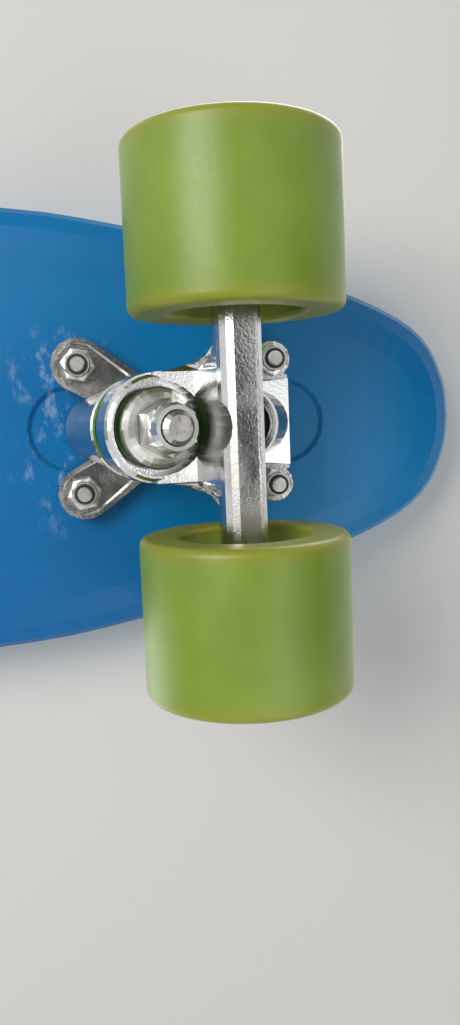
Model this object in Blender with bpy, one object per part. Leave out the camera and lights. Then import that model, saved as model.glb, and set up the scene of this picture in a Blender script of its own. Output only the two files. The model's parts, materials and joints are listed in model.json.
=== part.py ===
"""A small plastic cruiser skateboard standing on its wheels, +X towards the nose, +Z up, origin on the ground.

Lengths below are millimetres, and become metres where a mesh or a place is made.
A truck is laid out in its own frame: origin on the deck's underside at the middle of its four bolts,
+X towards its end of the board and +Z away from the deck. The front truck's frame is turned half round X
and the rear truck's half round Y.
"""

import math

import bmesh
import bpy
from mathutils import Matrix, Vector

MM = 0.001

# Clearance between pieces that touch on the real board
FIT = 0.3

# Deck
DECK_LENGTH = 560.0
DECK_HALF_WIDTH = 75.0
DECK_THICKNESS = 9.0
DECK_EDGE_THICKNESS = 6.5
DECK_EDGE_LIFT = 2.4
DECK_EDGE_BAND = 14.0
DECK_EDGE_ROUND = 1.6
NOSE_OVERHANG = 99.0
TAIL_OVERHANG = 130.0
NOSE_RISE = 8.0
NOSE_RISE_LENGTH = 49.0
TAIL_KICK = 24.0
TAIL_KICK_LENGTH = 86.0
PAD_RECESS_LENGTH = 99.5
PAD_RECESS_WIDTH = 29.2
PAD_RECESS_DEPTH = 1.5
PAD_RECESS_SLOPE = 1.4

# Truck bolts
BOLT_SPACING_ALONG = 63.5
BOLT_SPACING_ACROSS = 41.3
BOLT_RADIUS = 2.4
BOLT_HEAD_RADIUS = 4.6
BOLT_HEAD_HEIGHT = 2.6
BOLT_SOCKET_ACROSS = 3.2
BOLT_SOCKET_DEPTH = 1.4
BOLT_END = 1.4
BOLT_NUT_ACROSS = 9.5
BOLT_NUT_HEIGHT = 5.6
BOLT_NUT_COLLAR_RADIUS = 4.2

# Baseplate
PLATE_THICKNESS = 3.0
PLATE_END = 36.8
PLATE_STEP = 0.9
EAR_RADIUS = 9.1
EAR_HEIGHT = 6.5
EAR_WALL = 1.6
EAR_FLOOR = 3.2
EAR_ROOT_RADIUS = 7.5
NOSE_EAR_RADIUS = 6.4
HUB_RIM_RADIUS = 14.8
HUB_FOOT_RADIUS = 10.8
HUB_RIM_WIDTH = 1.3
HUB_CUP_DEPTH = 4.2
DRUM_RADIUS = 11.8
DRUM_FOOT_RADIUS = 10.4
DRUM_RIM_WIDTH = 1.8
DRUM_RECESS_DEPTH = 3.0
DRUM_TILT = math.radians(25.0)
DRUM_X = 18.8
DRUM_HEIGHT = 17.0

# Kingpin, bushings and the yoke ring that they hold
KINGPIN_TILT = math.radians(21.0)
KINGPIN_RADIUS = 4.75
KINGPIN_END = 18.9
KINGPIN_HEAD_ACROSS = 14.3
KINGPIN_HEAD_HEIGHT = 6.0
KINGPIN_NUT_ACROSS = 14.29
KINGPIN_NUT_HEIGHT = 9.6
KINGPIN_NUT_COLLAR_RADIUS = 6.8
RING_X = -10.3
RING_HEIGHT = 40.3
RING_RADIUS = 15.6
RING_WALL = 2.1
RING_TOP = 4.5
RING_BOTTOM = 5.0
RING_WEB_TOP = 0.5
RING_WEB_BOTTOM = 3.0
RING_HOLE_PLAY = 1.75
LOWER_SEAT_WALL = 3.0
LOWER_BUSHING_RADIUS = 12.5
LOWER_BUSHING_HEIGHT = 11.0
UPPER_BUSHING_RADIUS = 11.1
UPPER_BUSHING_HEIGHT = 4.6
TOP_WASHER_RADIUS = 11.7
TOP_WASHER_THICKNESS = 1.45

# Pivot
PIVOT_X = 22.0
PIVOT_HEIGHT = 13.0
PIVOT_RADIUS = 5.5
PIVOT_CUP_WALL = 1.8
PIVOT_CUP_DEPTH = 4.5
PIVOT_STEM = 11.0

# Hanger and axle
AXLE_X = 13.5
AXLE_HEIGHT = 51.0
AXLE_RADIUS = 4.0
AXLE_BORE_PLAY = 0.25
AXLE_OVERHANG = 0.7
HANGER_HALF_LENGTH = 39.0
BEAM_WIDTH = 12.4
BEAM_HEIGHT = 12.4
BEAM_SETBACK = 0.3
FLARE_START = 28.5
ARM_HALF_WIDTH = 10.0

# Wheels, bearings and axle hardware
WHEEL_RADIUS = 29.5
WHEEL_WIDTH = 45.0
WHEEL_EDGE = 2.6
WHEEL_LIP_RADIUS = 19.8
WHEEL_RECESS_RADIUS = 13.6
WHEEL_WEB_RADIUS = 8.2
BEARING_RADIUS = 11.0
BEARING_WIDTH = 7.0
BEARING_SPACING = 10.0
BEARING_BORE_RADIUS = AXLE_RADIUS + FIT
BEARING_SHIELD_DEPTH = 0.4
SPEED_WASHER_RADIUS = 6.3
SPEED_WASHER_THICKNESS = 0.8
AXLE_NUT_ACROSS = 12.7
AXLE_NUT_HEIGHT = 8.0
AXLE_NUT_COLLAR_RADIUS = 5.6

# Places that follow from the sizes
FRONT_X = DECK_LENGTH / 2 - NOSE_OVERHANG
REAR_X = TAIL_OVERHANG - DECK_LENGTH / 2
UNDERSIDE = WHEEL_RADIUS + AXLE_HEIGHT
PIVOT = Vector((PIVOT_X, 0, PIVOT_HEIGHT))
RING_CENTRE = Vector((RING_X, 0, RING_HEIGHT))
PIVOT_AXIS = (RING_CENTRE - PIVOT).normalized()
PIVOT_LEAN = -math.acos(PIVOT_AXIS.z)
INNER_WASHER_Y = HANGER_HALF_LENGTH + FIT
INNER_BEARING_Y = INNER_WASHER_Y + SPEED_WASHER_THICKNESS + FIT
OUTER_BEARING_Y = INNER_BEARING_Y + BEARING_WIDTH + BEARING_SPACING
OUTER_WASHER_Y = OUTER_BEARING_Y + BEARING_WIDTH + FIT
AXLE_NUT_Y = OUTER_WASHER_Y + SPEED_WASHER_THICKNESS + FIT
WHEEL_Y = (INNER_BEARING_Y + OUTER_BEARING_Y + BEARING_WIDTH) / 2
AXLE_HALF_LENGTH = WHEEL_Y + WHEEL_WIDTH / 2 + AXLE_OVERHANG
BEAM_LEFT = AXLE_X - BEAM_SETBACK - BEAM_WIDTH / 2
BEAM_RIGHT = BEAM_LEFT + BEAM_WIDTH
BEAM_BOTTOM = AXLE_HEIGHT - BEAM_HEIGHT / 2
BEAM_TOP = AXLE_HEIGHT + BEAM_HEIGHT / 2
BUSHING_BORE = KINGPIN_RADIUS + FIT
LOWER_BUSHING_TOP = -RING_WEB_BOTTOM - FIT
LOWER_BUSHING_BOTTOM = LOWER_BUSHING_TOP - LOWER_BUSHING_HEIGHT
HUB_FLOOR = LOWER_BUSHING_BOTTOM - FIT
HUB_RIM = HUB_FLOOR + HUB_CUP_DEPTH
UPPER_BUSHING_BOTTOM = RING_WEB_TOP + FIT
UPPER_BUSHING_TOP = UPPER_BUSHING_BOTTOM + UPPER_BUSHING_HEIGHT
TOP_WASHER_BOTTOM = UPPER_BUSHING_TOP + FIT
KINGPIN_NUT_BOTTOM = TOP_WASHER_BOTTOM + TOP_WASHER_THICKNESS + FIT
KINGPIN_HEAD_BOTTOM = (2.5 + FIT + KINGPIN_HEAD_ACROSS / 2 * math.sin(KINGPIN_TILT) - RING_HEIGHT) / math.cos(KINGPIN_TILT)
KINGPIN_HEAD_TOP = KINGPIN_HEAD_BOTTOM + KINGPIN_HEAD_HEIGHT
BOLT_NUT_BOTTOM = EAR_FLOOR + FIT
BOLT_TIP = BOLT_NUT_BOTTOM + BOLT_NUT_HEIGHT + BOLT_END
CORNERS = [(sx, sy) for sx in (-1, 1) for sy in (1, -1)]


def material(name, colour, roughness, metallic=0.0):
    """The material of this name, made once."""
    made = bpy.data.materials.get(name)
    if made:
        return made
    made = bpy.data.materials.new(name)
    made.use_nodes = True
    shader = made.node_tree.nodes["Principled BSDF"]
    shader.inputs["Base Color"].default_value = (*colour, 1.0)
    shader.inputs["Roughness"].default_value = roughness
    shader.inputs["Metallic"].default_value = metallic
    return made


LOOKS = {
    "deck_plastic": ((0.004, 0.145, 0.42), 0.32),
    "cast_aluminium": ((0.62, 0.62, 0.6), 0.22, 1.0),
    "urethane": ((0.30, 0.40, 0.05), 0.38),
    "bushing_urethane": ((0.22, 0.42, 0.04), 0.4),
    "pivot_plastic": ((0.02, 0.02, 0.022), 0.5),
    "steel": ((0.55, 0.54, 0.52), 0.3, 1.0),
    "zinc_steel": ((0.5, 0.5, 0.48), 0.35, 1.0),
    "bearing_steel": ((0.6, 0.6, 0.6), 0.2, 1.0),
}


def add_object(name, mesh_data, parent, place=(0, 0, 0), turn=(0, 0, 0), look=None):
    """An object made of a bmesh in millimetres, at a place in its parent's frame."""
    bmesh.ops.remove_doubles(mesh_data, verts=mesh_data.verts, dist=0.0005)
    bmesh.ops.recalc_face_normals(mesh_data, faces=mesh_data.faces)
    bmesh.ops.scale(mesh_data, verts=mesh_data.verts, vec=(MM, MM, MM))
    mesh = bpy.data.meshes.new(name)
    mesh_data.to_mesh(mesh)
    mesh_data.free()
    mesh.shade_smooth()
    mesh.set_sharp_from_angle(angle=math.radians(32))
    made = bpy.data.objects.new(name, mesh)
    bpy.context.scene.collection.objects.link(made)
    made.parent = parent
    made.location = Vector(place) * MM
    made.rotation_euler = turn
    if look:
        mesh.materials.append(material(look, *LOOKS[look]))
    return made


def add_empty(name, parent=None, place=(0, 0, 0), turn=(0, 0, 0)):
    """A named frame that pieces are placed in."""
    made = bpy.data.objects.new(name, None)
    bpy.context.scene.collection.objects.link(made)
    made.parent = parent
    made.location = Vector(place) * MM
    made.rotation_euler = turn
    return made


def combine(target, operation, mesh_data, parent, place=(0, 0, 0), turn=(0, 0, 0)):
    """Joins a helper solid to the target, or cuts it away."""
    helper = add_object(f"{target.name}_tool_{len(target.modifiers)}", mesh_data, parent, place, turn)
    helper.hide_render = True
    helper.display_type = "WIRE"
    step = target.modifiers.new(helper.name, "BOOLEAN")
    step.operation = operation
    step.solver = "EXACT"
    step.object = helper


def turned(profile, segments, hollow=False):
    """A solid turned about Z from (radius, height) points; a hollow one closes its section on itself."""
    made = bmesh.new()
    points = [made.verts.new((radius, 0, height)) for radius, height in profile]
    ends = points[1:] + points[:1] if hollow else points[1:]
    lines = [made.edges.new(pair) for pair in zip(points, ends)]
    bmesh.ops.spin(
        made, geom=points + lines, axis=(0, 0, 1), cent=(0, 0, 0), angle=2 * math.pi, steps=segments, use_merge=True
    )
    return made


def prism(outline, bottom, top):
    """A flat outline drawn up from one height to another."""
    made = bmesh.new()
    face = made.faces.new([made.verts.new((x, y, bottom)) for x, y in outline])
    grown = bmesh.ops.extrude_face_region(made, geom=[face])["geom"]
    moved = [item for item in grown if isinstance(item, bmesh.types.BMVert)]
    bmesh.ops.translate(made, verts=moved, vec=(0, 0, top - bottom))
    return made


def hull(points):
    """The tightest solid round the points."""
    made = bmesh.new()
    for point in points:
        made.verts.new(point)
    result = bmesh.ops.convex_hull(made, input=made.verts)
    inside = [item for item in result["geom_interior"] if isinstance(item, bmesh.types.BMVert)]
    bmesh.ops.delete(made, geom=inside, context="VERTS")
    return made


def skin(rings, hollow=False):
    """A solid skinned over rings of equal counts, with its ends capped, or joined to each other where hollow."""
    made = bmesh.new()
    rows = [[made.verts.new(point) for point in ring] for ring in rings]
    pairs = list(zip(rows, rows[1:]))
    if hollow:
        pairs.append((rows[-1], rows[0]))
    for low, high in pairs:
        for i in range(len(low)):
            j = (i + 1) % len(low)
            made.faces.new((low[i], low[j], high[j], high[i]))
    if not hollow:
        made.faces.new(rows[0])
        made.faces.new(rows[-1])
    return made


def circle(radius, count, centre=(0, 0), height=0.0):
    """Points round a circle at one height."""
    turn = 2 * math.pi / count
    return [
        (centre[0] + radius * math.cos(i * turn), centre[1] + radius * math.sin(i * turn), height) for i in range(count)
    ]


def hexagon(across, count, height):
    """Points round a hexagon, given across its flats, at the angles of a circle's points."""
    points = []
    for i in range(count):
        angle = 2 * math.pi * i / count
        from_flat = (angle + math.pi / 6) % (math.pi / 3) - math.pi / 6
        radius = across / 2 / math.cos(from_flat)
        points.append((radius * math.cos(angle), radius * math.sin(angle), height))
    return points


def lock_nut(across, height, collar_radius, bore, count):
    """A hexagon nut with a round collar over its locking ring, standing on its hexagon."""
    hex_height = height * 0.64
    chamfer = across * 0.04
    return skin(
        [
            circle(bore, count),
            hexagon(across, count, 0),
            hexagon(across, count, hex_height),
            circle(collar_radius, count, height=hex_height + chamfer),
            circle(collar_radius - chamfer, count, height=height),
            circle(bore, count, height=height),
        ],
        hollow=True,
    )


def on_kingpin(height):
    """The point of the kingpin's axis this far above the yoke ring's centre."""
    return RING_CENTRE + height * Vector((math.sin(KINGPIN_TILT), 0, math.cos(KINGPIN_TILT)))


def spline(points, steps):
    """Points along a smooth curve through the given ones."""
    ends = [2 * points[0] - points[1], *points, 2 * points[-1] - points[-2]]
    curve = []
    for a, b, c, d in zip(ends, ends[1:], ends[2:], ends[3:]):
        for i in range(steps):
            t = i / steps
            curve.append(
                0.5 * (2 * b + (c - a) * t + (2 * a - 5 * b + 4 * c - d) * t**2 + (3 * b - a - 3 * c + d) * t**3)
            )
    return [*curve, points[-1]]


def deck_half_outline():
    """The deck's edge on the +Y side from the nose to the tail."""
    half = DECK_LENGTH / 2
    wide = DECK_HALF_WIDTH
    # Distance from the tip, and share of the half width
    nose = [(0, 0), (0.9, 0.12), (3.4, 0.215), (7.4, 0.315), (15, 0.413), (27, 0.5), (44, 0.59), (68, 0.705), (99, 0.83)]
    nose += [(127, 0.91), (152, 0.955), (200, 0.99)]
    tail = [(0, 0), (0.5, 0.16), (2.4, 0.33), (8, 0.49), (18, 0.62), (34, 0.725), (60, 0.8), (95, 0.86), (140, 0.92)]
    tail += [(190, 0.97), (235, 0.995)]
    points = [Vector((half - along, wide * share)) for along, share in nose]
    points += [Vector((0.0, wide))]
    points += [Vector((along - half, wide * share)) for along, share in reversed(tail)]
    return spline(points, 2)


def deck_rise(x):
    """How far the deck lies above its flat middle at this distance from the board's centre."""
    nose = max(0.0, x - (DECK_LENGTH / 2 - NOSE_RISE_LENGTH)) / NOSE_RISE_LENGTH
    tail = max(0.0, -x - (DECK_LENGTH / 2 - TAIL_KICK_LENGTH)) / TAIL_KICK_LENGTH
    return NOSE_RISE * nose**2 + TAIL_KICK * tail**1.6


def deck_ring(outline, inset, height):
    """The outline drawn in by a distance, at a height over the flat underside."""
    ring = []
    for i, point in enumerate(outline):
        along = outline[(i + 1) % len(outline)] - outline[i - 1]
        inward = Vector((-along.y, along.x)).normalized()
        moved = point + inset * inward
        if abs(point.y) < 0.001:
            moved.y = 0.0
        ring.append((moved.x, moved.y, height + deck_rise(moved.x)))
    return ring


def deck_body():
    """The deck with a thin lifted edge, skinned round its outline and closed by strips from side to side."""
    half = deck_half_outline()
    outline = half + [Vector((point.x, -point.y)) for point in reversed(half[1:-1])]
    edge_top = DECK_EDGE_LIFT + DECK_EDGE_THICKNESS
    rings = [
        (DECK_EDGE_BAND, 0.0),
        (DECK_EDGE_BAND * 0.43, DECK_EDGE_LIFT * 0.33),
        (DECK_EDGE_ROUND, DECK_EDGE_LIFT),
        (0.0, DECK_EDGE_LIFT + DECK_EDGE_ROUND),
        (0.0, edge_top - DECK_EDGE_ROUND),
        (DECK_EDGE_ROUND, edge_top),
        (DECK_EDGE_BAND, DECK_THICKNESS),
    ]
    made = bmesh.new()
    rows = [[made.verts.new(point) for point in deck_ring(outline, *ring)] for ring in rings]
    count = len(outline)
    for low, high in zip(rows, rows[1:]):
        for i in range(count):
            j = (i + 1) % count
            made.faces.new((low[i], low[j], high[j], high[i]))
    for row in (rows[0], rows[-1]):
        last = len(half) - 1
        made.faces.new((row[0], row[1], row[-1]))
        for i in range(1, last - 1):
            made.faces.new((row[i], row[i + 1], row[-i - 1], row[-i]))
        made.faces.new((row[last - 1], row[last], row[last + 1]))
    return made


def pad_recess():
    """The cutter of the shallow long hollow under a truck, with sloped ends and sides."""
    steps = 10
    rings = []
    for grow, height in ((-PAD_RECESS_SLOPE, PAD_RECESS_DEPTH), (-0.4, 0.4), (0.4, -0.4)):
        radius = PAD_RECESS_WIDTH / 2 + grow
        straight = (PAD_RECESS_LENGTH - PAD_RECESS_WIDTH) / 2
        ring = []
        for side in (1, -1):
            for i in range(steps + 1):
                angle = math.pi * (i / steps - 0.5)
                x = side * (straight + radius * math.cos(angle))
                ring.append((x, side * radius * math.sin(angle), height))
        rings.append(ring)
    return skin(rings)


def add_deck():
    """The deck with the hollows and the countersunk holes for its two trucks."""
    deck = add_object("deck", deck_body(), None, (0, 0, UNDERSIDE), look="deck_plastic")
    hole = BOLT_RADIUS + FIT + 0.1
    head = BOLT_HEAD_RADIUS + FIT
    for centre in (FRONT_X, REAR_X):
        combine(deck, "DIFFERENCE", pad_recess(), None, (centre, 0, UNDERSIDE))
        for sx, sy in CORNERS:
            drill = turned(
                [
                    (0, -5),
                    (hole, -5),
                    (hole, DECK_THICKNESS - BOLT_HEAD_HEIGHT),
                    (head, DECK_THICKNESS),
                    (head, DECK_THICKNESS + 5),
                    (0, DECK_THICKNESS + 5),
                ],
                12,
            )
            place = (centre + sx * BOLT_SPACING_ALONG / 2, sy * BOLT_SPACING_ACROSS / 2, UNDERSIDE)
            combine(deck, "DIFFERENCE", drill, None, place)


def ear_solid(bolt, radius, root, root_radius, height, draft=0.5):
    """A tongue from round a bolt to its root, a little narrower at the top."""
    low = circle(radius, 14, bolt, -2) + circle(root_radius, 14, root, -2)
    high = circle(radius - draft, 14, bolt, height) + circle(root_radius - draft, 14, root, height)
    return hull(low + high)


def plate_outline():
    """The baseplate between its ears, as seen along the bolts."""
    half = [
        (PLATE_END, 15.5),
        (BOLT_SPACING_ALONG / 2 - 4, 19),
        (12, 16.5),
        (0, 15),
        (-12, 13.5),
        (-24, 10.5),
    ]
    return half + [(x, -y) for x, y in reversed(half)]


def add_baseplate(truck, prefix):
    """The cast baseplate: four ears, the hub round the lower bushing, and the drum that holds the pivot cup."""
    plate = add_object(f"{prefix}_baseplate", prism(plate_outline(), -3, PLATE_THICKNESS), truck, look="cast_aluminium")
    along, across = BOLT_SPACING_ALONG / 2, BOLT_SPACING_ACROSS / 2
    for side in (1, -1):
        root = (RING_X - 0.2, side * 7)
        combine(plate, "UNION", ear_solid((-along, side * across), EAR_RADIUS, root, EAR_ROOT_RADIUS, EAR_HEIGHT), truck)
        root = (DRUM_X - 7, side * 8)
        combine(
            plate, "UNION", ear_solid((along, side * across), NOSE_EAR_RADIUS, root, 10, EAR_FLOOR + 0.01, 0.3), truck
        )
    web = [(x, y, -1) for x in (DRUM_X, PLATE_END + PLATE_STEP / 2) for y in (-14.6, 14.6)]
    web += [(DRUM_X, y, 7.5) for y in (-12.5, 12.5)] + [(PLATE_END, y, 4.6) for y in (-14.2, 14.2)]
    combine(plate, "UNION", hull(web), truck)
    spine = [(x, y, z) for x in (RING_X - 4, DRUM_X) for y, z in ((9.5, -1.5), (-9.5, -1.5), (7, 8.6), (-7, 8.6))]
    combine(plate, "UNION", hull(spine), truck)
    foot = -RING_HEIGHT / math.cos(KINGPIN_TILT) - 4
    rim = HUB_RIM_RADIUS
    hub = turned(
        [
            (0, foot),
            (HUB_FOOT_RADIUS, foot),
            (HUB_FOOT_RADIUS + 0.6, foot + 10),
            (rim - 0.7, HUB_RIM - 3.5),
            (rim, HUB_RIM - 1.6),
            (rim, HUB_RIM - 0.6),
            (rim - 0.5, HUB_RIM),
            (rim - HUB_RIM_WIDTH, HUB_RIM - 0.2),
            (LOWER_BUSHING_RADIUS + FIT + 0.1, HUB_FLOOR),
            (0, HUB_FLOOR),
        ],
        32,
    )
    combine(plate, "UNION", hub, truck, RING_CENTRE, (0, KINGPIN_TILT, 0))
    drum = turned(
        [
            (0, -DRUM_HEIGHT - 8),
            (DRUM_FOOT_RADIUS, -DRUM_HEIGHT - 8),
            (DRUM_RADIUS, -1.2),
            (DRUM_RADIUS - 0.5, 0),
            (DRUM_RADIUS - DRUM_RIM_WIDTH + 0.3, 0),
            (DRUM_RADIUS - DRUM_RIM_WIDTH, -0.6),
            (DRUM_RADIUS - DRUM_RIM_WIDTH, -DRUM_RECESS_DEPTH),
            (0, -DRUM_RECESS_DEPTH),
        ],
        26,
    )
    combine(plate, "UNION", drum, truck, (DRUM_X, 0, DRUM_HEIGHT), (0, -DRUM_TILT, 0))
    below = prism([(-70, -60), (70, -60), (70, 60), (-70, 60)], -40, FIT)
    combine(plate, "DIFFERENCE", below, truck)
    bore = KINGPIN_RADIUS + FIT + 0.05
    combine(plate, "DIFFERENCE", turned([(0, -60), (bore, -60), (bore, 0), (0, 0)], 20), truck, RING_CENTRE, (0, KINGPIN_TILT, 0))
    across_head = KINGPIN_HEAD_ACROSS + 2 * FIT
    pocket = skin([hexagon(across_head, 6, -60), hexagon(across_head, 6, KINGPIN_HEAD_TOP + FIT)])
    combine(plate, "DIFFERENCE", pocket, truck, RING_CENTRE, (0, KINGPIN_TILT, 0))
    seat = PIVOT_RADIUS + FIT + PIVOT_CUP_WALL + FIT
    arc = [(seat * math.sin(a), -seat * math.cos(a)) for a in (math.radians(22.5 * i) for i in range(5))]
    combine(plate, "DIFFERENCE", turned([*arc, (seat, 11), (0, 11)], 20), truck, PIVOT, (0, PIVOT_LEAN, 0))
    for side in (1, -1):
        inner = EAR_RADIUS - EAR_WALL
        low = circle(inner - 0.6, 12, (-along, side * across), EAR_FLOOR)
        low += circle(EAR_ROOT_RADIUS - 2.6, 12, (-16.5, side * 10.8), EAR_FLOOR)
        high = circle(inner + 0.2, 12, (-along, side * across), EAR_HEIGHT + 2)
        high += circle(EAR_ROOT_RADIUS - 1.6, 12, (-16.5, side * 10.8), EAR_HEIGHT + 2)
        combine(plate, "DIFFERENCE", hull(low + high), truck)
    hole = BOLT_RADIUS + FIT + 0.1
    for sx, sy in CORNERS:
        drill = turned([(0, -5), (hole, -5), (hole, 20), (0, 20)], 10)
        combine(plate, "DIFFERENCE", drill, truck, (sx * along, sy * across, 0))


def beam_section(y):
    """The hanger's section at one distance from its middle: the axle beam, and the flare that runs out to the yoke."""
    full = BEAM_LEFT - RING_X
    share = min(1.0, max(0.0, (FLARE_START - abs(y)) / (FLARE_START - RING_RADIUS)))
    reach = full * (1 - math.sqrt(max(0.0, 1 - share**2)))
    blend = min(1.0, reach / full * 1.6)
    blend = blend * blend * (3 - 2 * blend)
    left = BEAM_LEFT - reach
    slope = math.tan(KINGPIN_TILT)
    top = RING_HEIGHT + RING_TOP / math.cos(KINGPIN_TILT) - slope * (left - RING_X)
    low = RING_HEIGHT - RING_BOTTOM / math.cos(KINGPIN_TILT) - slope * (left - RING_X)
    near = left + 0.7 * reach

    def between(plain, flared):
        return tuple(a + blend * (b - a) for a, b in zip(plain, flared))

    side = BEAM_LEFT
    section = [
        (BEAM_RIGHT - 1.6, BEAM_BOTTOM),
        (BEAM_RIGHT, BEAM_BOTTOM + 1.6),
        (BEAM_RIGHT, BEAM_TOP - 2.2),
        (BEAM_RIGHT - 1.2, BEAM_TOP - 0.3),
        (BEAM_RIGHT - 2.2, BEAM_TOP),
        (side + 4.6, BEAM_TOP),
        (side + 2.6, BEAM_TOP - 0.7),
        (side + 1.0, BEAM_TOP - 2.2),
        (side + 0.2, BEAM_TOP - 4.2),
        between((side, BEAM_TOP - 6.0), (near, top - slope * (near - left) + 2.2)),
        between((side, BEAM_TOP - 7.4), (left + 0.6, top - 0.7)),
        between((side, BEAM_TOP - 8.8), (left, top - 2.2)),
        between((side, BEAM_BOTTOM + 1.6), (left, low + 2.4)),
        between((side + 1.6, BEAM_BOTTOM), (left + 1.6, low + 1.0)),
        between((side + 5.5, BEAM_BOTTOM), (side + 4.0, BEAM_BOTTOM - 5.0)),
    ]
    return [(x, y, z) for x, z in section]


def add_hanger(truck, steering, prefix):
    """The cast hanger: axle beam, flared yoke, ring for the bushings and the stem that turns in the pivot cup."""
    turns = [math.radians(90 - 15 * i) for i in range(7)]
    flare = [FLARE_START - (FLARE_START - RING_RADIUS) * math.sin(a) for a in turns]
    stations = [*flare, HANGER_HALF_LENGTH - 1.0]
    stations = [-y for y in reversed(stations)] + stations
    rings = [beam_section(y) for y in stations]
    for end in (-1, 1):
        tip = [(AXLE_X + (x - AXLE_X) * 0.9, 0, AXLE_HEIGHT + (z - AXLE_HEIGHT) * 0.9) for x, _, z in rings[0]]
        ring = [(x, end * HANGER_HALF_LENGTH, z) for x, _, z in tip]
        rings = [ring, *rings] if end < 0 else [*rings, ring]
    body = skin(rings)
    bmesh.ops.translate(body, verts=body.verts, vec=-PIVOT)
    hanger = add_object(f"{prefix}_hanger", body, steering, look="cast_aluminium")
    outer = RING_RADIUS
    ring = turned(
        [
            (0, -RING_BOTTOM),
            (outer - 1.2, -RING_BOTTOM),
            (outer, -RING_BOTTOM + 1.4),
            (outer, RING_TOP - 1.8),
            (outer - 0.5, RING_TOP - 0.6),
            (outer - 1.4, RING_TOP),
            (0, RING_TOP),
        ],
        36,
    )
    combine(hanger, "UNION", ring, truck, RING_CENTRE, (0, KINGPIN_TILT, 0))
    arc = [(PIVOT_RADIUS * math.sin(a), -PIVOT_RADIUS * math.cos(a)) for a in (math.radians(22.5 * i) for i in range(5))]
    stem = turned([*arc, (PIVOT_RADIUS, PIVOT_STEM + 1), (0, PIVOT_STEM + 1)], 18)
    combine(hanger, "UNION", stem, truck, PIVOT, (0, PIVOT_LEAN, 0))
    lean = Matrix.Translation(PIVOT) @ Matrix.Rotation(PIVOT_LEAN, 4, "Y")
    arm = [lean @ Vector(point) for z in (PIVOT_STEM - 2, PIVOT_STEM) for point in circle(PIVOT_RADIUS - 0.05, 18, height=z)]
    arm += [
        (x, y, BEAM_BOTTOM + 3)
        for x in (BEAM_LEFT + 0.8, BEAM_RIGHT - 0.8)
        for y in (-ARM_HALF_WIDTH, ARM_HALF_WIDTH)
    ]
    combine(hanger, "UNION", hull(arm), truck)
    recess = RING_RADIUS - RING_WALL
    top = turned([(0, RING_WEB_TOP), (recess, RING_WEB_TOP), (recess, 45), (0, 45)], 32)
    combine(hanger, "DIFFERENCE", top, truck, RING_CENTRE, (0, KINGPIN_TILT, 0))
    seat = RING_RADIUS - LOWER_SEAT_WALL
    low = turned([(0, -22), (seat, -22), (seat, -RING_WEB_BOTTOM), (0, -RING_WEB_BOTTOM)], 26)
    combine(hanger, "DIFFERENCE", low, truck, RING_CENTRE, (0, KINGPIN_TILT, 0))
    hole = KINGPIN_RADIUS + RING_HOLE_PLAY
    combine(hanger, "DIFFERENCE", turned([(0, -30), (hole, -30), (hole, 30), (0, 30)], 20), truck, RING_CENTRE, (0, KINGPIN_TILT, 0))
    bore = AXLE_RADIUS + AXLE_BORE_PLAY
    drill = turned([(0, -60), (bore, -60), (bore, 60), (0, 60)], 16)
    combine(hanger, "DIFFERENCE", drill, truck, (AXLE_X, 0, AXLE_HEIGHT), (math.pi / 2, 0, 0))


def add_kingpin_stack(truck, prefix):
    """The kingpin and what it clamps, each turned about its leaning axis."""

    def on_axis(name, mesh_data, look, height=0.0):
        return add_object(f"{prefix}_{name}", mesh_data, truck, on_kingpin(height), (0, KINGPIN_TILT, 0), look)

    radius = KINGPIN_RADIUS
    shank = turned(
        [
            (0, KINGPIN_HEAD_BOTTOM + 1),
            (radius, KINGPIN_HEAD_BOTTOM + 1),
            (radius, KINGPIN_END - 1.1),
            (radius - 1.2, KINGPIN_END),
            (0, KINGPIN_END),
        ],
        20,
    )
    kingpin = on_axis("kingpin", shank, "steel")
    head = skin(
        [
            hexagon(KINGPIN_HEAD_ACROSS, 6, KINGPIN_HEAD_BOTTOM),
            hexagon(KINGPIN_HEAD_ACROSS, 6, KINGPIN_HEAD_TOP),
        ]
    )
    combine(kingpin, "UNION", head, truck, RING_CENTRE, (0, KINGPIN_TILT, 0))
    nut = lock_nut(KINGPIN_NUT_ACROSS, KINGPIN_NUT_HEIGHT, KINGPIN_NUT_COLLAR_RADIUS, BUSHING_BORE, 24)
    on_axis("kingpin_nut", nut, "zinc_steel", KINGPIN_NUT_BOTTOM)
    rim, thick = TOP_WASHER_RADIUS, TOP_WASHER_THICKNESS
    washer = [
        (BUSHING_BORE, 0),
        (rim - 2.9, 0),
        (rim - 1.4, -0.4),
        (rim - 0.7, -1.1),
        (rim, -0.9),
        (rim - 0.5, 0.4),
        (rim - 1.6, thick - 0.5),
        (rim - 3.2, thick),
        (BUSHING_BORE, thick),
    ]
    on_axis("top_washer", turned(washer, 26, hollow=True), "zinc_steel", TOP_WASHER_BOTTOM)
    wide, tall = UPPER_BUSHING_RADIUS, UPPER_BUSHING_HEIGHT
    upper = [(BUSHING_BORE, 0), (wide - 0.3, 0), (wide, tall * 0.3), (wide - 1.9, tall), (BUSHING_BORE, tall)]
    on_axis("upper_bushing", turned(upper, 22, hollow=True), "bushing_urethane", UPPER_BUSHING_BOTTOM)
    wide, tall = LOWER_BUSHING_RADIUS, LOWER_BUSHING_HEIGHT
    lower = [
        (BUSHING_BORE, 0),
        (wide - 0.3, 0),
        (wide, tall * 0.25),
        (wide - 0.2, tall * 0.6),
        (wide - 1.1, tall),
        (BUSHING_BORE, tall),
    ]
    on_axis("lower_bushing", turned(lower, 26, hollow=True), "bushing_urethane", LOWER_BUSHING_BOTTOM)


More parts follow.
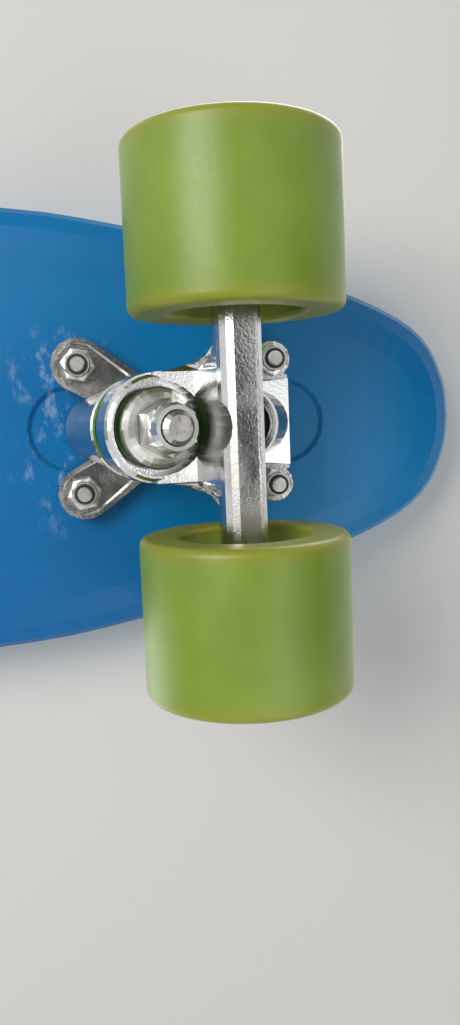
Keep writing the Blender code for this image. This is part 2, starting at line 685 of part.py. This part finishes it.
def add_pivot_cup(truck, prefix):
    """The soft cup between the baseplate's drum and the hanger's stem."""
    inner = PIVOT_RADIUS + FIT
    outer = inner + PIVOT_CUP_WALL
    turns = [math.radians(22.5 * i) for i in range(5)]
    shell = [(outer * math.sin(a), -outer * math.cos(a)) for a in turns]
    hollow = [(inner * math.sin(a), -inner * math.cos(a)) for a in reversed(turns)]
    profile = [*shell, (outer, PIVOT_CUP_DEPTH), (inner, PIVOT_CUP_DEPTH), *hollow]
    add_object(f"{prefix}_pivot_cup", turned(profile, 18), truck, PIVOT, (0, PIVOT_LEAN, 0), "pivot_plastic")


def ring_solid(bore, radius, width, segments):
    """A plain ring standing on Z, with its middle at zero."""
    half = width / 2
    return turned([(bore, -half), (radius, -half), (radius, half), (bore, half)], segments, hollow=True)


def bearing_solid():
    """A ball bearing, with both faces dished a little towards its shields."""
    half = BEARING_WIDTH / 2
    middle = (BEARING_BORE_RADIUS + BEARING_RADIUS) / 2
    rising = [(BEARING_BORE_RADIUS, half), (middle, half - BEARING_SHIELD_DEPTH), (BEARING_RADIUS, half)]
    section = rising + [(radius, -height) for radius, height in reversed(rising)]
    return turned(section, 16, hollow=True)


def wheel_solid():
    """A wheel turned about its axle, with a dished recess and a bearing seat in each face."""
    half = WHEEL_WIDTH / 2
    seat = BEARING_RADIUS + FIT
    web = BEARING_SPACING / 2 - FIT
    floor = BEARING_SPACING / 2 + BEARING_WIDTH
    side = [
        (WHEEL_WEB_RADIUS, web),
        (seat, web),
        (seat, floor),
        (WHEEL_RECESS_RADIUS, floor),
        (WHEEL_LIP_RADIUS - 1.4, half - 1.8),
        (WHEEL_LIP_RADIUS, half),
        (WHEEL_RADIUS - WHEEL_EDGE, half),
        (WHEEL_RADIUS - WHEEL_EDGE * 0.3, half - WHEEL_EDGE * 0.3),
        (WHEEL_RADIUS, half - WHEEL_EDGE),
    ]
    other = [(radius, -height) for radius, height in reversed(side)]
    return turned([*side, *other], 32, hollow=True)


def add_axle_and_wheels(truck, steering, prefix):
    """The axle through the hanger, and on each end a wheel on two bearings held by a nut."""
    across = (math.pi / 2, 0, 0)
    axis = Vector((AXLE_X, 0, AXLE_HEIGHT)) - PIVOT
    end, radius = AXLE_HALF_LENGTH, AXLE_RADIUS
    rod = turned([(0, -end), (radius - 0.8, -end), (radius, 0.8 - end), (radius, end - 0.8), (radius - 0.8, end), (0, end)], 20)
    add_object(f"{prefix}_axle", rod, steering, axis, across, "steel")
    for side, way in (("left", 1 if prefix == "rear" else -1), ("right", -1 if prefix == "rear" else 1)):

        def on_axle(name, mesh_data, middle, look, parent=steering, turn=across):
            place = axis + Vector((0, way * middle, 0)) if parent is steering else (0, way * (middle - WHEEL_Y), 0)
            return add_object(f"{prefix}_{side}_{name}", mesh_data, parent, place, turn, look)

        hub = add_empty(f"{prefix}_{side}_wheel_hub", steering, axis + Vector((0, way * WHEEL_Y, 0)))
        on_axle("wheel", wheel_solid(), WHEEL_Y, "urethane", hub)
        for where, start in (("inner", INNER_BEARING_Y), ("outer", OUTER_BEARING_Y)):
            on_axle(f"{where}_bearing", bearing_solid(), start + BEARING_WIDTH / 2, "bearing_steel", hub)
        for where, start in (("inner", INNER_WASHER_Y), ("outer", OUTER_WASHER_Y)):
            washer = ring_solid(AXLE_RADIUS + FIT, SPEED_WASHER_RADIUS, SPEED_WASHER_THICKNESS, 12)
            on_axle(f"{where}_speed_washer", washer, start + SPEED_WASHER_THICKNESS / 2, "zinc_steel")
        nut = lock_nut(AXLE_NUT_ACROSS, AXLE_NUT_HEIGHT, AXLE_NUT_COLLAR_RADIUS, AXLE_RADIUS + FIT, 12)
        on_axle("axle_nut", nut, AXLE_NUT_Y, "zinc_steel", turn=(-way * math.pi / 2, 0, 0))


def bolt_solid():
    """A countersunk bolt with a hexagon socket, from its tip down to its head inside the deck."""
    head = -DECK_THICKNESS
    return skin(
        [
            circle(BOLT_RADIUS - 0.5, 12, height=BOLT_TIP),
            circle(BOLT_RADIUS, 12, height=BOLT_TIP - 0.5),
            circle(BOLT_RADIUS, 12, height=head + BOLT_HEAD_HEIGHT),
            circle(BOLT_HEAD_RADIUS, 12, height=head + 0.2),
            circle(BOLT_HEAD_RADIUS, 12, height=head),
            hexagon(BOLT_SOCKET_ACROSS, 12, head),
            hexagon(BOLT_SOCKET_ACROSS, 12, head + BOLT_SOCKET_DEPTH),
        ]
    )


def add_mounting_hardware(truck, prefix):
    """Four bolts through the deck and the baseplate, each with its lock nut."""
    for number, (sx, sy) in enumerate(CORNERS, 1):
        place = (sx * BOLT_SPACING_ALONG / 2, sy * BOLT_SPACING_ACROSS / 2, 0)
        add_object(f"{prefix}_mounting_bolt_{number}", bolt_solid(), truck, place, look="zinc_steel")
        nut = lock_nut(BOLT_NUT_ACROSS, BOLT_NUT_HEIGHT, BOLT_NUT_COLLAR_RADIUS, BOLT_RADIUS + FIT, 12)
        seat = (place[0], place[1], BOLT_NUT_BOTTOM)
        add_object(f"{prefix}_mounting_nut_{number}", nut, truck, seat, (0, 0, 0.35 * number), "zinc_steel")


def add_truck(prefix, centre, turn):
    """One whole truck in its own frame, hung from the deck."""
    truck = add_empty(f"{prefix}_truck", None, (centre, 0, UNDERSIDE), turn)
    steering = add_empty(f"{prefix}_steering", truck, PIVOT)
    add_baseplate(truck, prefix)
    add_pivot_cup(truck, prefix)
    add_kingpin_stack(truck, prefix)
    add_hanger(truck, steering, prefix)
    add_axle_and_wheels(truck, steering, prefix)
    add_mounting_hardware(truck, prefix)


def main():
    for old in list(bpy.data.objects):
        bpy.data.objects.remove(old)
    add_deck()
    add_truck("front", FRONT_X, (math.pi, 0, 0))
    add_truck("rear", REAR_X, (0, math.pi, 0))
    bpy.context.view_layer.update()


main()
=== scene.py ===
import json
import math

import bmesh
import bpy
from mathutils import Matrix, Vector


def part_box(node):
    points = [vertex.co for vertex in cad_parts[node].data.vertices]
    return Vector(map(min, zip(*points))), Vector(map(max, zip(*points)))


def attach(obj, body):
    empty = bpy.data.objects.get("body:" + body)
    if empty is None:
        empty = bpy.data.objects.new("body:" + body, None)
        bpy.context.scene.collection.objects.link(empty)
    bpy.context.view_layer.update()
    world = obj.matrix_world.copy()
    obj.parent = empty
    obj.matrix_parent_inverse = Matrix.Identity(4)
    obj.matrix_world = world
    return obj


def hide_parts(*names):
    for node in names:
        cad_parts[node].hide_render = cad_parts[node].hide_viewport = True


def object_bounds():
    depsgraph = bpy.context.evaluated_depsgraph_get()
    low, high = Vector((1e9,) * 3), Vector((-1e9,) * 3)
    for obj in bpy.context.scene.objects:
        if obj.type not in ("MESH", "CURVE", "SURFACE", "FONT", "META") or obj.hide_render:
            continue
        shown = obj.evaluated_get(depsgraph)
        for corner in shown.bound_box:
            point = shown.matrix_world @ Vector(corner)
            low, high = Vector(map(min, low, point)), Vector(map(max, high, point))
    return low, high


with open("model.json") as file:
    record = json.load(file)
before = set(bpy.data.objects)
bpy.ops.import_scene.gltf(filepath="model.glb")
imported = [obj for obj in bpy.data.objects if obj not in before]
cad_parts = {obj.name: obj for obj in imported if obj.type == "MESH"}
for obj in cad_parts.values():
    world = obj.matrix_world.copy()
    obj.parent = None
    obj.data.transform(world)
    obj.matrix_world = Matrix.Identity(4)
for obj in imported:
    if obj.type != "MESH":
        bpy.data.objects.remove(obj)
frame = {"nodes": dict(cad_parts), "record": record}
cad_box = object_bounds()
nodes = frame["nodes"]
print("nodes:", len(nodes), "box:", cad_box)

# %% [markdown]
# The board is a small plastic cruiser that stands on its wheels, and the photograph shows it from below.
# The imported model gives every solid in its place, so most of them keep their shape and only get a finish.
# The wheels are turned again with a finer surface than a collision shape needs, and the nylon rings of the
# lock nuts are added. Sizes of the wheel's profile are in millimetres, and everything else is in metres.

# %% Measures
MM = 0.001
TRUCKS = ("front", "rear")
SIDES = ("left", "right")
DECK_TOP = 89.5 * MM
DECK_UNDERSIDE = 80.5 * MM
FRONT_X = 181 * MM
GRIP_PITCH = 6 * MM
GRIP_HALF_WIDTH = 62 * MM
GRIP_HALF_LENGTH = 256 * MM
GRIP_FADE = 4 * MM
WHEEL_Y = 52.4 * MM
HUB_RADIUS = 8.2
BEARING_SEAT = 11.15
BEARING_SHOULDER = 4.85
RECESS_FLOOR = 12.0
WHEEL_HALF_WIDTH = 22.5
WHEEL_RADIUS = 29.5
LIP_RADIUS = 20.3
LIP_ROUND = 2.0
TREAD_ROUND = 2.4
WHEEL_STEPS = 144
NYLON_INNER = 2.55 * MM
NYLON_OUTER = 3.35 * MM
NYLON_HEIGHT = 0.3 * MM
NYLON_PROUD = 0.15 * MM
RING_STEPS = 48
SHARP_ANGLE = 35
STUDIO_REACH = 3.0
BACKDROP_GAP = 2 * MM
TRUCK_PLACE = (0.18, 0, 0.06)
CAMERA_SHIFT = (-19.8, -3.3, -275.8)
CAMERA_TURN = {"X": 0.121, "Y": 0.129, "Z": 0.055}
PHOTO_WIDTH, PHOTO_HEIGHT = 460, 1025
PHOTO_FOCAL = 820

# %% [markdown]
# Shader graphs soon fill with boxes for plain sums. A small class wraps one socket, so that a sum is written as
# a sum, and every other node goes through one method that takes its type, its settings and its inputs.


# %% Shader helpers
class Socket:
    """One output of a node, with the arithmetic of numbers."""

    def __init__(self, graph, socket):
        self.graph = graph
        self.socket = socket

    def maths(self, operation, *operands):
        return self.graph.node("ShaderNodeMath", {"operation": operation}, dict(enumerate(operands)))

    def __add__(self, other):
        return self.maths("ADD", self, other)

    __radd__ = __add__

    def __mul__(self, other):
        return self.maths("MULTIPLY", self, other)

    __rmul__ = __mul__

    def __sub__(self, other):
        return self.maths("SUBTRACT", self, other)

    def __rsub__(self, other):
        return self.maths("SUBTRACT", other, self)

    def __pow__(self, other):
        return self.maths("POWER", self, other)

    def absolute(self):
        return self.maths("ABSOLUTE", self)

    def sine(self):
        return self.maths("SINE", self)

    def root(self):
        return self.maths("SQRT", self)

    def ramp(self, start, end):
        """0 up to start, 1 from end on, and a soft step between. start may be the greater."""
        span = {"Value": self, "From Min": min(start, end), "From Max": max(start, end)}
        step = self.graph.node("ShaderNodeMapRange", {"interpolation_type": "SMOOTHSTEP"}, span)
        return step if start < end else 1 - step


class NodeMaker:
    """A node tree, and the one way in which nodes are added to it."""

    def __init__(self, tree):
        self.tree = tree

    def node(self, kind, settings=None, inputs=None, output=0):
        made = self.tree.nodes.new(kind)
        for key, value in (settings or {}).items():
            setattr(made, key, value)
        for key, value in (inputs or {}).items():
            if isinstance(value, Socket):
                self.tree.links.new(value.socket, made.inputs[key])
            else:
                made.inputs[key].default_value = value
        return Socket(self, made.outputs[output])


class Graph(NodeMaker):
    """The node tree of one material, with its Principled shader."""

    def __init__(self, name, **values):
        self.material = bpy.data.materials.new(name)
        self.material.use_nodes = True
        super().__init__(self.material.node_tree)
        self.shader = self.tree.nodes["Principled BSDF"]
        for socket, value in values.items():
            self.shader.inputs[socket.replace("_", " ")].default_value = value

    def place(self):
        """The three coordinates of the point, in metres in the row frame."""
        where = self.node("ShaderNodeTexCoord", output="Object")
        return where, [self.node("ShaderNodeSeparateXYZ", inputs={0: where}, output=axis) for axis in "XYZ"]

    def noise(self, where, scale, detail=3.0, roughness=0.55, stretch=None):
        if stretch:
            where = self.node("ShaderNodeVectorMath", {"operation": "MULTIPLY"}, {0: where, 1: stretch})
        inputs = {"Vector": where, "Scale": scale, "Detail": detail, "Roughness": roughness}
        return self.node("ShaderNodeTexNoise", inputs=inputs)

    def mix(self, share, first, second):
        settings = {"data_type": "RGBA", "clamp_factor": True}
        return self.node("ShaderNodeMix", settings, {0: share, 6: first, 7: second}, output=2)

    def feed(self, socket, value):
        self.tree.links.new(value.socket, self.shader.inputs[socket])

    def bump(self, height, distance, strength=1.0):
        inputs = {"Height": height, "Distance": distance, "Strength": strength}
        self.feed("Normal", self.node("ShaderNodeBump", inputs=inputs))


def colour(red, green, blue):
    return (red, green, blue, 1.0)


# %% [markdown]
# The deck is one moulding of blue plastic. Its skin is glossy with a faint orange peel and long shallow streaks
# from the flow of the melt. Feet and kerbs leave pale scuffs, which gather round the truck's inner ears.
# The top has a raised waffle of small blocks that keeps a shoe from sliding.


# %% Deck plastic
def deck_plastic():
    graph = Graph("deck_plastic", Roughness=0.3, IOR=1.48, Specular_IOR_Level=0.3)
    where, (x, y, z) = graph.place()
    broad = graph.noise(where, 9.0, 2.0)
    streaks = graph.noise(where, 30.0, 4.0, stretch=(0.3, 1.6, 1.0))
    fine = graph.noise(where, 420.0, 3.0)
    base = graph.mix(broad.ramp(0.3, 0.7), colour(0.0, 0.118, 0.33), colour(0.0, 0.165, 0.385))
    base = graph.mix(streaks.ramp(0.52, 0.8) * 0.25, base, colour(0.006, 0.21, 0.5))
    ears = ((x - (FRONT_X - 37 * MM)) ** 2 + (y.absolute() - 15 * MM) ** 2).root()
    worn = graph.noise(where, 150.0, 6.0, 0.7, stretch=(1.0, 0.5, 1.0))
    scuffs = worn.ramp(0.52, 0.66) * ears.ramp(24 * MM, 9 * MM)
    stray = graph.noise(where, 70.0, 8.0, 0.75, stretch=(0.25, 2.4, 1.0)).ramp(0.69, 0.74)
    specks = graph.noise(where, 900.0, 1.0).ramp(0.77, 0.8) * graph.noise(where, 25.0, 1.0).ramp(0.5, 0.6)
    base = graph.mix(scuffs * 0.34, base, colour(0.42, 0.55, 0.66))
    base = graph.mix(stray * 0.16, base, colour(0.3, 0.45, 0.6))
    base = graph.mix(specks * 0.7, base, colour(0.01, 0.02, 0.03))
    top = z.ramp(DECK_TOP - 0.6 * MM, DECK_TOP - 0.2 * MM)
    across = y.absolute().ramp(GRIP_HALF_WIDTH + GRIP_FADE, GRIP_HALF_WIDTH)
    along = x.absolute().ramp(GRIP_HALF_LENGTH + 1.5 * GRIP_FADE, GRIP_HALF_LENGTH)
    inside = across * along
    wave = math.tau / GRIP_PITCH
    blocks = (x * wave).sine() * (y * wave).sine()
    waffle = blocks.absolute().ramp(0.08, 0.3) * top * inside
    base = graph.mix(waffle * 0.25, base, colour(0.004, 0.2, 0.52))
    graph.feed("Base Color", base)
    graph.feed("Roughness", fine * 0.1 + scuffs * 0.25 + waffle * 0.12 + broad * 0.1 + 0.2)
    graph.bump(waffle * 1.0 + fine * 0.02 + scuffs * 0.06 + streaks * 0.02, 0.0007)
    return graph.material


# %% [markdown]
# The trucks are polished aluminium castings. Polishing leaves bright metal on the proud edges, while fine pits
# and a brown film stay in the hollows and along the beam's flat. The grain is far finer than any part's edge.


# %% Cast aluminium
def cast_aluminium():
    graph = Graph("cast_aluminium", Metallic=1.0, Roughness=0.22)
    where, _ = graph.place()
    cloud = graph.noise(where, 60.0, 4.0)
    pits = graph.noise(where, 1300.0, 2.0)
    brush = graph.noise(where, 260.0, 3.0, stretch=(1.0, 0.08, 1.0))
    film = cloud.ramp(0.48, 0.72) * 0.45 + pits.ramp(0.6, 0.75) * 0.25
    base = graph.mix(brush, colour(0.5, 0.5, 0.495), colour(0.68, 0.68, 0.67))
    base = graph.mix(film, base, colour(0.33, 0.28, 0.22))
    graph.feed("Base Color", base)
    graph.feed("Roughness", brush * 0.1 + film * 0.3 + 0.12)
    graph.bump(pits * 0.3 + cloud * 0.15 + brush * 0.1, 0.00015)
    return graph.material


# %% [markdown]
# The wheels are cast urethane. Light sinks a little way in, so the body looks cloudy, and the rims yellow first.
# Grit on the road leaves short pale nicks across the tread. The bushings are the same stuff in a purer green.


# %% Wheel urethane
def urethane(name, body, cloud_tone, rim_tone, rims=True):
    graph = Graph(name, Roughness=0.42, Subsurface_Weight=0.12, Subsurface_Scale=0.004, IOR=1.5)
    graph.shader.inputs["Subsurface Radius"].default_value = (1.0, 1.0, 0.35)
    where, (_, y, _) = graph.place()
    clouds = graph.noise(where, 34.0, 3.0)
    grain = graph.noise(where, 700.0, 2.0)
    base = graph.mix(clouds.ramp(0.35, 0.7), body, cloud_tone)
    if rims:
        edge = (y.absolute() - WHEEL_Y).absolute().ramp(16.5 * MM, 22.2 * MM)
        base = graph.mix(edge * (clouds * 0.7 + 0.35), base, rim_tone)
    nicks = graph.noise(where, 120.0, 6.0, 0.8, stretch=(0.5, 2.2, 0.5)).ramp(0.72, 0.76)
    smudge = graph.noise(where, 55.0, 4.0).ramp(0.6, 0.78)
    base = graph.mix(nicks * 0.45, base, colour(0.62, 0.66, 0.42))
    base = graph.mix(smudge * 0.25, base, colour(0.12, 0.13, 0.04))
    graph.feed("Base Color", base)
    graph.feed("Roughness", grain * 0.12 + smudge * 0.12 + 0.34)
    graph.bump(grain * 0.15 + nicks * -0.6, 0.0002)
    return graph.material


# %% [markdown]
# Nuts, bolts and washers are zinc-plated steel, and the kingpin, the axles and the bearings are bare. Plating
# dulls in clouds. Bare steel rusts in spots, first where it was cut or where a spanner has rubbed it.


# %% Steels and plain plastic
def metal(name, bright, dull, rough, rust=0.0):
    graph = Graph(name, Metallic=1.0, Roughness=rough)
    where, _ = graph.place()
    cloud = graph.noise(where, 220.0, 4.0)
    grain = graph.noise(where, 1800.0, 2.0)
    base = graph.mix(cloud.ramp(0.35, 0.7), bright, dull)
    spots = graph.noise(where, 520.0, 5.0, 0.7).ramp(0.55, 0.7) * rust
    base = graph.mix(spots, base, colour(0.16, 0.065, 0.025))
    graph.feed("Base Color", base)
    graph.feed("Roughness", cloud * 0.14 + spots * 0.4 + (rough - 0.07))
    graph.bump(grain * 0.2 + spots * 0.5, 0.00008)
    return graph.material


def plain_plastic(name, tone, rough):
    graph = Graph(name, Roughness=rough)
    where, _ = graph.place()
    grain = graph.noise(where, 900.0, 3.0)
    lighter = colour(*[1.8 * part for part in tone[:3]])
    graph.feed("Base Color", graph.mix(grain.ramp(0.3, 0.8), tone, lighter))
    graph.feed("Roughness", grain * 0.2 + (rough - 0.1))
    graph.bump(grain, 0.00006)
    return graph.material


olive = [colour(0.145, 0.225, 0.012), colour(0.185, 0.27, 0.022), colour(0.25, 0.235, 0.01)]
green = [colour(0.10, 0.34, 0.02), colour(0.15, 0.4, 0.03), colour(0.2, 0.4, 0.03)]
looks = {
    "deck_plastic": deck_plastic(),
    "cast_aluminium": cast_aluminium(),
    "urethane": urethane("urethane", *olive),
    "bushing_urethane": urethane("bushing_urethane", *green, rims=False),
    "pivot_plastic": plain_plastic("pivot_plastic", colour(0.018, 0.018, 0.02), 0.5),
    "steel": metal("steel", colour(0.6, 0.59, 0.56), colour(0.42, 0.41, 0.38), 0.32, rust=0.6),
    "zinc_steel": metal("zinc_steel", colour(0.62, 0.61, 0.58), colour(0.42, 0.42, 0.4), 0.34, rust=0.12),
    "bearing_steel": metal("bearing_steel", colour(0.7, 0.7, 0.7), colour(0.5, 0.5, 0.5), 0.25),
}
nylon = plain_plastic("nylon", colour(0.012, 0.012, 0.014), 0.45)

for part in frame["record"]["subparts"]:
    mesh = nodes[part["node"]].data
    mesh.materials.clear()
    mesh.materials.append(looks[part["material_slot"]])
print("finishes:", len(looks))

# %% [markdown]
# A wheel is turned on a lathe, so a spun profile is the true shape. The profile is the CAD wheel's own, with the
# edges rounded finely and two faint mould rings in the dished recess of each face.


# %% Wheels
def spun(name, profile, steps):
    """A solid of revolution about the Y axis, from a closed list of (radius, along) points."""
    shape = bmesh.new()
    corners = [shape.verts.new((radius, along, 0.0)) for radius, along in profile]
    edges = [shape.edges.new((corners[i - 1], corners[i])) for i in range(len(corners))]
    ring = corners + edges
    bmesh.ops.spin(shape, geom=ring, cent=(0, 0, 0), axis=(0, 1, 0), angle=math.tau, steps=steps)
    bmesh.ops.remove_doubles(shape, verts=shape.verts, dist=1e-6)
    bmesh.ops.recalc_face_normals(shape, faces=shape.faces)
    mesh = bpy.data.meshes.new(name)
    shape.to_mesh(mesh)
    shape.free()
    return mesh


def arc(centre, radius, start, end, count):
    """Points on a circular corner, in degrees."""
    angles = [math.radians(start + (end - start) * i / count) for i in range(count + 1)]
    return [(centre[0] + radius * math.cos(a), centre[1] + radius * math.sin(a)) for a in angles]


def wheel_profile():
    """Half of a wheel's section, from the hub out over the recess and the tread, and then its mirror image."""
    side = [(HUB_RADIUS, BEARING_SHOULDER), (BEARING_SEAT, BEARING_SHOULDER), (BEARING_SEAT, RECESS_FLOOR)]
    side += [(13.4, RECESS_FLOOR), (13.7, RECESS_FLOOR + 0.2)]
    for radius, along in ((14.6, 13.7), (16.2, 16.2)):
        side += [(radius, along), (radius + 0.3, along + 0.1), (radius + 0.4, along + 0.4)]
    side.append((18.4, 20.6))
    side += arc((LIP_RADIUS, WHEEL_HALF_WIDTH - LIP_ROUND), LIP_ROUND, 168, 90, 6)
    tread = (WHEEL_RADIUS - TREAD_ROUND, WHEEL_HALF_WIDTH - TREAD_ROUND)
    side += arc(tread, TREAD_ROUND, 90, 0, 8)
    other = [(radius, -along) for radius, along in reversed(side)]
    return [(radius * MM, along * MM) for radius, along in side + other]


def finish(mesh, look, body):
    """A smooth piece of that mesh and its name, which rides on that body."""
    mesh.materials.append(look)
    mesh.polygons.foreach_set("use_smooth", [True] * len(mesh.polygons))
    mesh.set_sharp_from_angle(angle=math.radians(SHARP_ANGLE))
    piece = bpy.data.objects.new(mesh.name, mesh)
    bpy.context.scene.collection.objects.link(piece)
    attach(piece, body)
    return piece


for truck in TRUCKS:
    for side in SIDES:
        node = f"{truck}_{side}_wheel"
        low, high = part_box(node)
        mesh = spun(f"{node}_cast", wheel_profile(), WHEEL_STEPS)
        mesh.transform(Matrix.Translation((Vector(low) + Vector(high)) / 2))
        wheel = finish(mesh, looks["urethane"], f"{node}_assembly")
        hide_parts(node)
print("wheels:", len(TRUCKS) * len(SIDES))

# %% [markdown]
# A lock nut grips its bolt with a nylon ring that is pressed into its end. The ring shows as a dark band round
# the bolt, and it stands a hair above the metal.


# %% Nylon rings
section = [(NYLON_INNER, 0), (NYLON_OUTER, 0), (NYLON_OUTER, NYLON_HEIGHT), (NYLON_INNER, NYLON_HEIGHT)]
for truck in TRUCKS:
    for number in range(1, 5):
        low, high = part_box(f"{truck}_mounting_nut_{number}")
        ring = spun(f"{truck}_nylon_ring_{number}", section, RING_STEPS)
        ring.transform(Matrix.Rotation(math.pi / 2, 4, "X"))
        middle = (Vector(low) + Vector(high)) / 2
        ring.transform(Matrix.Translation((middle.x, middle.y, low[2] - NYLON_PROUD)))
        finish(ring, nylon, "board")
print("rings:", 4 * len(TRUCKS))

# %% [markdown]
# The board stands on a pale floor, and the photograph looks at it from below. The floor therefore shows only from
# above, and a second sheet behind the deck, which shows only from below, takes the shadow in the main picture.


# %% Floor and backdrop
def stage_sheet(name, corners, order, material, hidden_from):
    """A flat sheet that belongs to the studio and takes no part in the named kinds of light."""
    mesh = bpy.data.meshes.new(name)
    mesh.from_pydata(corners, [], [order])
    mesh.materials.append(material)
    sheet = bpy.data.objects.new(name, mesh)
    bpy.context.scene.collection.objects.link(sheet)
    for kind in hidden_from:
        setattr(sheet, f"visible_{kind}", False)
    return sheet


def one_sided(name, height, tone, faces_down):
    graph = Graph(name, Roughness=0.9)
    graph.shader.inputs["Base Color"].default_value = tone
    back = graph.node("ShaderNodeNewGeometry", output="Backfacing")
    clear = graph.node("ShaderNodeBsdfTransparent")
    plate = Socket(graph, graph.shader.outputs[0])
    both = graph.node("ShaderNodeMixShader", inputs={0: back, 1: plate, 2: clear})
    graph.tree.links.new(both.socket, graph.tree.nodes["Material Output"].inputs["Surface"])
    signs = ((-1, -1), (1, -1), (1, 1), (-1, 1))
    corners = [(STUDIO_REACH * across, STUDIO_REACH * along, height) for across, along in signs]
    order = (3, 2, 1, 0) if faces_down else (0, 1, 2, 3)
    stage_sheet(name, corners, order, graph.material, ("diffuse", "glossy", "shadow"))


one_sided("studio_floor", 0.0, colour(0.72, 0.71, 0.69), faces_down=False)
one_sided("photo_backdrop", cad_box[1][2] + BACKDROP_GAP, colour(0.62, 0.6, 0.57), faces_down=True)


# %% [markdown]
# Soft lamps stand below and to the left for the photograph's view, and others above for the deck's top. A few dark
# cards show in the reflections only, and give the polished metal the darker bands of a room.


# %% Lamps, cards and world
def lamp(name, place, aim, size, power, tone=(1.0, 0.98, 0.95)):
    light = bpy.data.lights.new(name, "AREA")
    light.shape = "RECTANGLE"
    light.size, light.size_y = size
    light.energy = power
    light.color = tone
    holder = bpy.data.objects.new(name, light)
    holder.location = place
    holder.rotation_euler = (Vector(aim) - Vector(place)).to_track_quat("-Z", "Y").to_euler()
    holder.visible_camera = False
    bpy.context.scene.collection.objects.link(holder)


underside = (0.15, 0, 0.05)
top_side = (0, 0, 0.08)
cool = (0.95, 0.98, 1.0)
lamp("below_key", (-0.35, -0.3, -0.6), underside, (0.5, 0.5), 6.5)
lamp("below_fill", (0.55, 0.35, -0.6), underside, (0.7, 0.7), 2.0, cool)
lamp("above_key", (0.5, -0.7, 0.9), top_side, (0.8, 0.8), 13.0)
lamp("above_fill", (-0.8, 0.6, 0.8), top_side, (0.9, 0.9), 5.0, cool)


def card(name, place, width, height):
    """A dark card of that half width and half height, turned to the front truck."""
    graph = Graph(name, Roughness=1.0)
    graph.shader.inputs["Base Color"].default_value = colour(0.02, 0.02, 0.022)
    turn = (Vector(TRUCK_PLACE) - Vector(place)).to_track_quat("Z", "Y").to_matrix()
    signs = ((-1, -1), (1, -1), (1, 1), (-1, 1))
    corners = [Vector(place) + turn @ Vector((width * i, height * j, 0)) for i, j in signs]
    hidden_from = ("camera", "diffuse", "shadow", "transmission")
    stage_sheet(name, corners, (0, 1, 2, 3), graph.material, hidden_from)


card("dark_card_right", (0.75, 0.1, -0.25), 0.3, 0.22)
card("dark_card_up", (0.1, -0.75, -0.3), 0.35, 0.12)
card("dark_card_camera", (0.19, 0.02, -0.5), 0.13, 0.16)
card("dark_card_left", (-0.25, 0.25, -0.12), 0.12, 0.1)

world = bpy.data.worlds.new("studio_world")
world.use_nodes = True
world.node_tree.nodes.clear()
bpy.context.scene.world = world
sky = NodeMaker(world.node_tree)
camera_ray, glossy_ray, clear_ray = [
    sky.node("ShaderNodeLightPath", output=f"Is {kind} Ray") for kind in ("Camera", "Glossy", "Transmission")
]
seen = sky.node("ShaderNodeMath", {"operation": "ADD", "use_clamp": True}, {0: camera_ray, 1: clear_ray})
seen = sky.node("ShaderNodeMath", {"operation": "ADD", "use_clamp": True}, {0: seen, 1: glossy_ray})
pale = {"Color": colour(0.9, 0.95, 1.0), "Strength": 0.42}
ambient = sky.node("ShaderNodeBackground", inputs=pale)
white = sky.node("ShaderNodeBackground", inputs={"Color": colour(1.0, 1.0, 1.0)})
blend = sky.node("ShaderNodeMixShader", inputs={0: seen, 1: ambient, 2: white})
output = world.node_tree.nodes.new("ShaderNodeOutputWorld")
world.node_tree.links.new(blend.socket, output.inputs["Surface"])

# %% [markdown]
# The camera was fitted to the four bolts, the nut and both wheels of the photograph. It stands 28 cm from the
# deck's underside and looks up at it, with the nose to the right.

# %% Camera
look = bpy.data.cameras.new("photo_camera")
look.sensor_fit = "VERTICAL"
look.sensor_height = 36.0
look.lens = PHOTO_FOCAL / PHOTO_HEIGHT * look.sensor_height
look.clip_start = 0.01
camera = bpy.data.objects.new("photo_camera", look)
turn_x, turn_y, turn_z = [Matrix.Rotation(CAMERA_TURN[axis], 3, axis) for axis in "XYZ"]
turned = turn_z @ turn_y @ turn_x
upside_down = Matrix(((1, 0, 0), (0, -1, 0), (0, 0, -1)))
beside_truck = Vector((FRONT_X, 0, DECK_UNDERSIDE)) + MM * Vector(CAMERA_SHIFT)
stands = Matrix.Translation(beside_truck)
camera.matrix_world = stands @ (upside_down @ turned.transposed()).to_4x4()
bpy.context.scene.collection.objects.link(camera)
bpy.context.scene.camera = camera
bpy.context.scene.view_settings.view_transform = "Standard"
